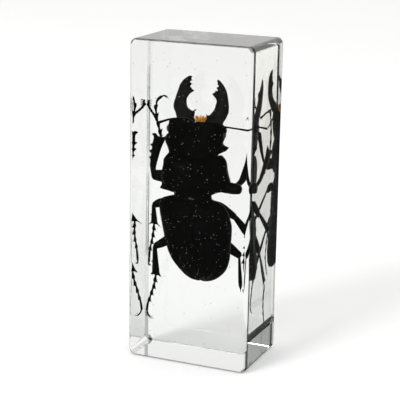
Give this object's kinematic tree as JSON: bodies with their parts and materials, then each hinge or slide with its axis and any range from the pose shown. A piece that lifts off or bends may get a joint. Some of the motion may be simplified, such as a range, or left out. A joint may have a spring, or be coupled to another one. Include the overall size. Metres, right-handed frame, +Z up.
{
  "type": "insect in resin block",
  "caption": "Upright clear resin block with a black stag beetle sealed inside, standing on its small end as a paperweight or specimen display.",
  "frame": {"origin": "middle of the bottom face that the block stands on", "axes": "+Z up the block's long side, -Y out of the big viewing face that shows the beetle's back, +X to the right of that face"},
  "size_m": [0.044, 0.028, 0.11],
  "materials": {
    "clear_resin": "polished",
    "black_shell": "satin",
    "eye_brown": "gloss",
    "amber_bristle": "satin"
  },
  "bodies": {
    "root": {"resin_block": "clear_resin"}
  },
  "joints": []
}
